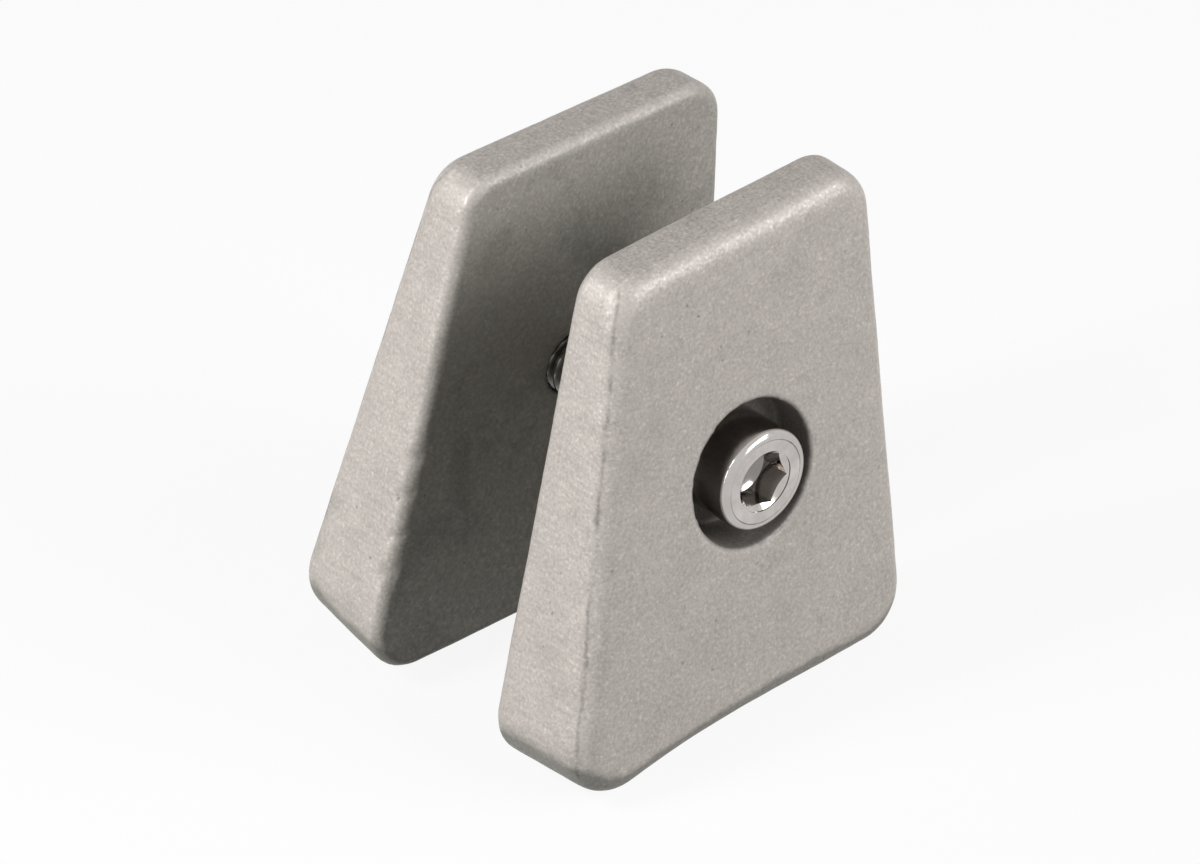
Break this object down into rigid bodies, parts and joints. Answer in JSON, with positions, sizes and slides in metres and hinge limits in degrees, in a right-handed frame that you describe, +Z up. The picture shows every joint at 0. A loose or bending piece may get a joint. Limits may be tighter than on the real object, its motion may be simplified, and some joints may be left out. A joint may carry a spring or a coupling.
{
  "type": "sacrificial anode",
  "caption": "Wedge-shaped zinc anode plates of opposite hand that clamp either side of a boat's fin or strut, drawn together by a recessed socket head screw and a nut.",
  "frame": {"origin": "on the standing surface, under the middle of the whole part's box", "axes": "+X along the plates, away from their raked side; +Y along the screw, from its head to its nut; +Z up, from the plates' thick end to their thin end"},
  "size_m": [0.0436, 0.0394, 0.0499],
  "materials": {
    "cast_zinc": "sand-cast zinc, fine even grain, as cast",
    "stainless_steel": "polished stainless steel"
  },
  "bodies": {
    "root": {"anode_plate_front": "cast_zinc", "anode_plate_rear": "cast_zinc", "socket_head_screw": "stainless_steel", "hex_nut": "stainless_steel"}
  },
  "joints": []
}
